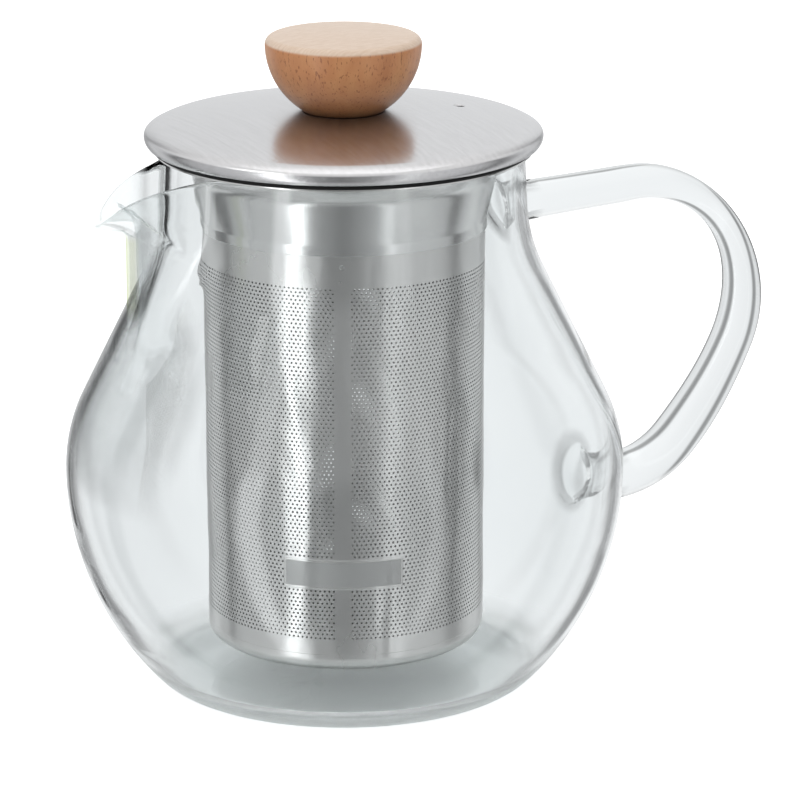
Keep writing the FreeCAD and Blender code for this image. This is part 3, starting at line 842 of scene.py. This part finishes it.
def make_spot_weld(material):
    """The little round spot weld near the top of the seam."""
    weld_height = 88.3
    outline = [(0.0, 0.01), (0.22, 0.012), (0.36, 0.05), (0.46, 0.055), (0.55, 0.0)]
    sides = 32
    points = []
    for radius, rise in outline:
        for corner in range(sides):
            turn = corner * TAU / sides
            angle = HOLES["seam_turn"] + radius * math.cos(turn) / TUBE
            out = TUBE + rise
            points.append((out * math.cos(angle), out * math.sin(angle),
                           weld_height + radius * math.sin(turn)))
    obj = piece("strainer_spot_weld", points, round_grid(len(outline), sides), material, "strainer")
    face_outwards(obj, merge=True)


def make_strainer_end(material):
    """The end cup: a disc with rings of holes, a rounded corner and a short wall inside the tube."""
    cup_low, cup_high, sheet_low = low("strainer_bottom"), top("strainer_bottom"), HOLES["sheet_low"]
    last_ring, segments = 30, 192
    edge_radius = (last_ring + 1) * HOLES["row"]
    corner, inner_corner, lip = 3.0, 2.2, 0.06
    inside = TUBE - 2 * SHEET
    outline = np.vstack([
        [(edge_radius, cup_low)],
        arc((TUBE - corner, cup_low + corner), corner, -90, 0, 14),
        [(TUBE, sheet_low - lip), (TUBE - lip, sheet_low), (TUBE - SHEET, sheet_low)],
        [(TUBE - SHEET, cup_high), (inside, cup_high)],
        arc((inside - inner_corner, cup_low + SHEET + inner_corner), inner_corner, 0, -90, 14),
        [(edge_radius, cup_low + SHEET)],
    ])
    turned("strainer_end_cup", outline, material, "strainer", ("strainer_bottom",), segments=segments)

    loops = [[(edge_radius * math.cos(a), edge_radius * math.sin(a))
              for a in np.arange(segments) * TAU / segments]]
    for ring in range(1, last_ring + 1):
        radius = ring * HOLES["row"]
        count = round(TAU * radius / (TAU * TUBE / HOLES["around"]))
        for turn in (np.arange(count) + ring % 2 / 2) * TAU / count:
            x, y = radius * math.cos(turn), radius * math.sin(turn)
            loops.append([(x + HOLES["radius"] * math.cos(a), y + HOLES["radius"] * math.sin(a))
                          for a in turn + np.arange(8) * TAU / 8])
    flat, edges = [], []
    for loop in loops:
        start = len(flat)
        flat += [Vector(spot) for spot in loop]
        edges += [(start + k, start + (k + 1) % len(loop)) for k in range(len(loop))]
    spots, _, triangles = delaunay_2d_cdt(flat, edges, [], 3, 1e-6, False)[:3]  # 3: leave the holes out
    count = len(spots)
    points = [(s.x, s.y, cup_low) for s in spots] + [(s.x, s.y, cup_low + SHEET) for s in spots]
    faces = [list(face)[::-1] for face in triangles] + [[k + count for k in face] for face in triangles]
    pairs = {(face[k - 1], face[k]): None for face in triangles for k in range(len(face))}
    for first, second in pairs:
        if (second, first) not in pairs:
            faces.append([first, second, second + count, first + count])
    piece("strainer_end_disc", points, faces, material, "strainer", crease=25)


def make_collar(material):
    """The funnel: a straight hem round the tube, a flare, and a flange that hangs on the pot's rim."""
    flange_top, flange = top("strainer_collar"), reach("strainer_collar")
    hem_low = low("strainer_collar")
    hem_high = hem_low + 2.0
    bore = TUBE - 0.02
    flare, flare_height, throat = 29.2, 101.1, 31.9
    outline = rounded([
        (bore, hem_low, 0.08), (TUBE + SHEET, hem_low, 0.15), (TUBE + SHEET, hem_high, 0.8),
        (flare, flare_height, 5.0), (throat, RIM, 1.6), (flange, RIM, 0.15), (flange, flange_top, 0.15),
        (throat - SHEET / 2, flange_top, 1.6), (flare - SHEET, flare_height, 5.0), (bore, hem_high, 0.8),
    ])
    turned("strainer_mouth", outline, material, "strainer", ("strainer_collar",))


# ---------------------------------------------------------------- lid
LID = {
    "gauge": 0.8, "dome": 215.0, "crown": 7.7, "crown_turn": 30.0, "edge": 1.12, "hem": 2.2,
    "hem_turn": 43.0, "vent": 0.9, "vent_from_middle": 23.8, "vent_turn": -4.3,
}


def dome_height(radius, inset=0.0):
    """Height of the lid's shallow dome at a radius, inset from the outer skin."""
    return LID_TOP - LID["dome"] + math.sqrt((LID["dome"] - inset) ** 2 - radius ** 2)


def lid_side(inset):
    """From the dome over the rounded edge to the hem, inset from the outer skin."""
    crown_turn = math.radians(LID["crown_turn"])
    crown_x = LID_RADIUS - LID["edge"] - (LID["crown"] - LID["edge"]) * math.sin(crown_turn)
    crown_y = dome_height(crown_x, LID["crown"])
    dome_turn = math.degrees(math.asin(crown_x / (LID["dome"] - LID["crown"])))
    edge_y = crown_y + (LID["crown"] - LID["edge"]) * math.cos(crown_turn)
    return np.vstack([
        arc((crown_x, crown_y), LID["crown"] - inset, 90 - dome_turn, 90 - LID["crown_turn"], 12),
        arc((LID_RADIUS - LID["edge"], edge_y), LID["edge"] - inset, 90 - LID["crown_turn"], 0, 10)[1:],
        arc((LID_RADIUS - LID["hem"], edge_y), LID["hem"] - inset, 0, -LID["hem_turn"], 8)[1:],
    ])


def make_lid_plate(material):
    """The brushed dome with its rolled edge, a hole for the knob's screw and the steam vent."""
    screw_hole, dome_end = 2.2, LID_RADIUS - 5
    spread = np.linspace(screw_hole, dome_end, 30)
    dome = [(radius, dome_height(radius)) for radius in spread]
    under = [(radius, dome_height(radius, LID["gauge"])) for radius in spread[::-1]]
    outline = np.vstack([dome, lid_side(0.0), lid_side(LID["gauge"])[::-1], under])
    plate = turned("lid_brushed_plate", outline, material, "lid", ("lid_plate",), segments=320)
    turn = math.radians(LID["vent_turn"])
    vent = LID["vent"]
    level = dome_height(LID["vent_from_middle"])
    punch = turned("vent_punch", [(0, level - 2), (vent, level - 2), (vent, level - 0.22),
                                  (vent + 0.3, level + 0.08), (vent + 0.3, level + 1), (0, level + 1)],
                   material, None, segments=48)
    punch.location = Vector((math.cos(turn), math.sin(turn), 0)) * LID["vent_from_middle"] * MM
    bpy.context.view_layer.update()
    boolean(plate, punch, "DIFFERENCE")
    plate.data.set_sharp_from_angle(angle=math.radians(35))


def make_lid_skirt(material):
    """The ring under the lid: a flange welded to the dome, a seat for the seal, and a tapered guide."""
    upper, lower, gauge = 31.2, 27.6, 0.5
    taper_high, taper_low = 105.0, 100.8
    inside, under = top("lid_skirt"), dome_height(reach("lid_skirt"), LID["gauge"])
    outline = rounded([
        (lower - gauge, low("lid_skirt"), 0.1), (lower, low("lid_skirt"), 0.1), (lower, taper_low, 1.5),
        (upper, taper_high, 1.5), (upper, under - gauge, 0.4), (reach("lid_skirt"), under - gauge, 0.1),
        (reach("lid_skirt"), under, 0.1), (upper - gauge, inside, 0.6),
        (upper - gauge, taper_high, 1.5), (lower - gauge, taper_low, 1.5),
    ])
    turned("lid_ring", outline, material, "lid", ("lid_skirt",))


def make_gasket(material):
    """The seal: a soft ring with a lip that rests on the funnel's flange."""
    seat, upper, lip = low("lid_gasket"), top("lid_gasket"), reach("lid_gasket")
    bore, neck, lip_top = 31.26, lip - 0.7, seat + 1.25
    outline = rounded([
        (bore, seat, 0.1), (lip, seat, 0.5), (lip, lip_top, 0.5), (neck, lip_top, 0.2),
        (neck, upper, 0.2), (bore, upper, 0.1),
    ])
    turned("lid_seal_ring", outline, material, "lid_seal", ("lid_gasket",))


def make_knob(material):
    """The turned knob: a bowl-shaped side, a rounded edge, a nearly flat crown and a bore for the insert."""
    radius, foot_low = reach("knob"), low("knob")
    foot, side_arc, edge_arc, rise = 8.2, 15.0, 1.6, 0.6
    foot_edge, insert, bore_depth = 0.25, 3.0, 10
    edge_height = top("knob") - rise - edge_arc
    half = radius - edge_arc
    crown_arc = (half ** 2 + rise ** 2) / (2 * rise)
    outline = np.vstack([
        [(insert, foot_low)],
        [(foot - foot_edge, foot_low)],
        arc_between((foot, foot_low + foot_edge), (radius, edge_height), side_arc, 40),
        arc_between((radius, edge_height), (half, edge_height + edge_arc), edge_arc, 10)[1:],
        arc_between((half, edge_height + edge_arc), (0, top("knob")), crown_arc, 30)[1:],
        [(0, foot_low + bore_depth), (insert, foot_low + bore_depth)],
    ])
    turned("wooden_knob", outline, material, "lid", ("knob",))


def paint(node, material):
    """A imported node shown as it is, with its own finish."""
    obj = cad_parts[node]
    obj.data.materials.clear()
    obj.data.materials.append(material)


# ---------------------------------------------------------------- studio
def stage_plane(name, width, depth, height, material):
    x, y, z = width / 2, depth / 2, height
    mesh = bpy.data.meshes.new(name)
    mesh.from_pydata([(-x, -y, z), (x, -y, z), (x, y, z), (-x, y, z)], [], [(0, 1, 2, 3)])
    mesh.materials.append(material)
    obj = bpy.data.objects.new(name, mesh)
    bpy.context.scene.collection.objects.link(obj)
    return obj


# Brightness of the studio round the pot: degrees from straight behind it, left negative. The bright
# panel behind is narrow and has dark flags beside it, which draw the dark outlines of the glass.
STUDIO = [
    (-180, 0.23), (-158, 0.40), (-148, 0.60), (-144.5, 3.3), (-137.5, 3.3), (-134, 0.72), (-112, 0.68),
    (-75, 0.55), (-73, 0.06), (-65, 0.06), (-62, 0.75), (-36, 0.85), (-29, 0.32), (-23, 0.28),
    (-18, 0.86), (0, 0.93), (18, 0.97), (23, 0.30), (29, 0.34), (36, 0.85), (58, 0.80), (72, 0.45),
    (75, 0.06), (82, 0.06), (85, 0.55), (112, 0.74), (136, 0.72), (139, 1.5), (143, 1.5), (146, 0.62),
    (160, 0.42), (180, 0.23),
]


def studio_light(look, direction):
    """Brightness of the studio in a direction from the pot."""
    def along(vector):
        made = look.node("VectorMath", {0: direction, 1: tuple(vector)}, operation="DOT_PRODUCT")
        return made.outputs["Value"]

    angle = look.maths("ARCTAN2", along(ACROSS_VIEW), along(ALONG_VIEW))
    share = look.window(angle, -math.pi, math.pi)
    brightest = max(level for _, level in STUDIO)
    stops = [((degrees + 180) / 360, level / brightest) for degrees, level in STUDIO]
    cool = rgb(brightest * 0.985, brightest, brightest * 1.012)
    return look.mix(1.0, look.ramp(share, stops), cool, "MULTIPLY")


def floor_paper():
    """Pale paper for the eye; for rays from steel and glass it glows with painted light, a copy of the
    studio's light and dark.

    Seen through the pot's base it is a little glossy. Distances are in metres from the pot's middle.
    """
    under_pot, past_pot = 0.036, 0.052
    look = Look("floor_paper", Roughness=0.9)
    rays = look.node("LightPath").outputs
    fibre = look.noise((0.05, 0.05, 0.05), 4.0)
    look.set(Base_Color=look.ramp(fibre, [(0.3, 0.90), (0.7, 0.93)]), Emission_Color=rgb(1, 1, 1),
             Emission_Strength=look.spread(rays["Is Camera Ray"], 0.0, 0.5))
    glaze = look.node("BsdfAnisotropic", {"Color": rgb(0.92, 0.93, 0.93), "Roughness": 0.03}).outputs[0]
    paper = look.blend(look.product(rays["Is Transmission Ray"], 0.45), look.shader.outputs[0], glaze)

    geometry = look.node("NewGeometry").outputs
    onward = look.node("VectorMath", {0: geometry["Incoming"], 1: (-1, -1, -1)}, operation="MULTIPLY")
    steep = look.window(look.height(geometry["Incoming"]), 0.75, 0.95)
    # Painted light: for steel and glass the floor is an emission that copies the studio's bright panels and
    # dark flags, and is an even grey for steep rays.
    painted_studio_light = look.mix(steep, studio_light(look, onward.outputs[0]), rgb(0.66, 0.67, 0.67))
    glow = look.node("Emission", {"Color": painted_studio_light}).outputs[0]
    away = look.node("VectorMath", {0: geometry["Position"]}, operation="LENGTH").outputs["Value"]
    again = look.spread(look.window(rays["Glossy Depth"], 1.5, 2.0), 0.0, 0.3)
    share = look.product(look.greatest(rays["Is Glossy Ray"], rays["Is Transmission Ray"]),
                         look.greatest(look.window(away, under_pot, past_pot), again))
    look.end_in(look.blend(share, paper, glow))
    return look.material


def make_world():
    """A white backdrop for the camera and, for reflections, a studio of soft boxes and dark flags."""
    world = bpy.data.worlds.new("studio")
    bpy.context.scene.world = world
    world.use_nodes = True
    look = Nodes(world.node_tree)
    direction = look.node("TexCoord").outputs["Generated"]
    overhead = look.ramp(look.height(direction), [(0.30, 0.0), (0.75, 1.0)], smooth=True)
    lit = look.mix(overhead, studio_light(look, direction), rgb(1.0, 1.0, 1.0))
    seen = look.node("LightPath").outputs["Is Camera Ray"]
    look.put(look.tree.nodes["Background"], "Color", look.mix(seen, lit, rgb(1, 1, 1)))


def soft_box(name, place, width, height, power):
    lamp = bpy.data.lights.new(name, "AREA")
    lamp.shape, lamp.size, lamp.size_y, lamp.energy = "RECTANGLE", width, height, power
    obj = bpy.data.objects.new(name, lamp)
    bpy.context.scene.collection.objects.link(obj)
    obj.location = place
    middle_of_pot = Vector((0, 0, 0.06))
    aim = middle_of_pot - Vector(place)
    obj.rotation_euler = aim.to_track_quat("-Z", "Y").to_euler()


def make_camera():
    """Looks down a little on the pot from its front left, through a long lens."""
    distance, height, aside, pitch, focal = 0.82188, 0.29292, 0.01070, 16.081, 199.16
    data = bpy.data.cameras.new("camera")
    data.sensor_width, data.lens = 36.0, focal
    data.clip_start, data.clip_end = 0.01, 20.0
    camera = bpy.data.objects.new("camera", data)
    bpy.context.scene.collection.objects.link(camera)
    camera.location = Vector(aside * ACROSS_VIEW - distance * ALONG_VIEW) + Vector((0, 0, height))
    camera.rotation_euler = (math.radians(90 - pitch), 0, -VIEW_TURN)
    bpy.context.scene.camera = camera


def make_studio():
    """Floor, backdrop and two soft lamps, and how the picture is traced and shown."""
    bounces = 24
    floor = stage_plane("floor", 6.0, 6.0, -0.0002, floor_paper())
    floor.rotation_euler[2] = -VIEW_TURN
    make_world()
    left = Vector(-0.75 * ACROSS_VIEW - 0.45 * ALONG_VIEW) + Vector((0, 0, 0.9))
    soft_box("soft_box_left", left, 0.5, 0.5, 1.0)
    over = Vector(0.2 * ALONG_VIEW) + Vector((0, 0, 1.3))
    soft_box("soft_box_above", over, 0.9, 0.9, 1.2)
    bpy.context.scene.view_settings.view_transform = "Standard"
    bpy.context.scene.cycles.max_bounces = bounces
    bpy.context.scene.cycles.transmission_bounces = bounces


# ---------------------------------------------------------------- the whole object
GLASS = clear_glass()
POLISHED = polished_steel()
PERFORATED = satin_steel("perforated_steel", rgb(0.72, 0.71, 0.70), rgb(0.62, 0.615, 0.605), 0.25)
ETCHED = satin_steel("etched_steel", rgb(0.56, 0.56, 0.555), rgb(0.49, 0.49, 0.485), 0.5)

make_pot(GLASS)
make_tube(PERFORATED)
make_name_plate(ETCHED, PERFORATED)
make_spot_weld(ETCHED)
make_strainer_end(PERFORATED)
make_collar(POLISHED)
make_lid_plate(brushed_lid_steel())
make_lid_skirt(POLISHED)
make_gasket(black_silicone())
make_knob(light_wood())
paint("knob_insert", small_metal("insert_brass", rgb(0.72, 0.52, 0.22), rgb(0.62, 0.43, 0.17), 0.3))
SCREW_STEEL = small_metal("screw_steel", rgb(0.66, 0.66, 0.65), rgb(0.56, 0.56, 0.55), 0.28)
for node in ("knob_screw", "screw_washer"):
    paint(node, SCREW_STEEL)
make_camera()
make_studio()
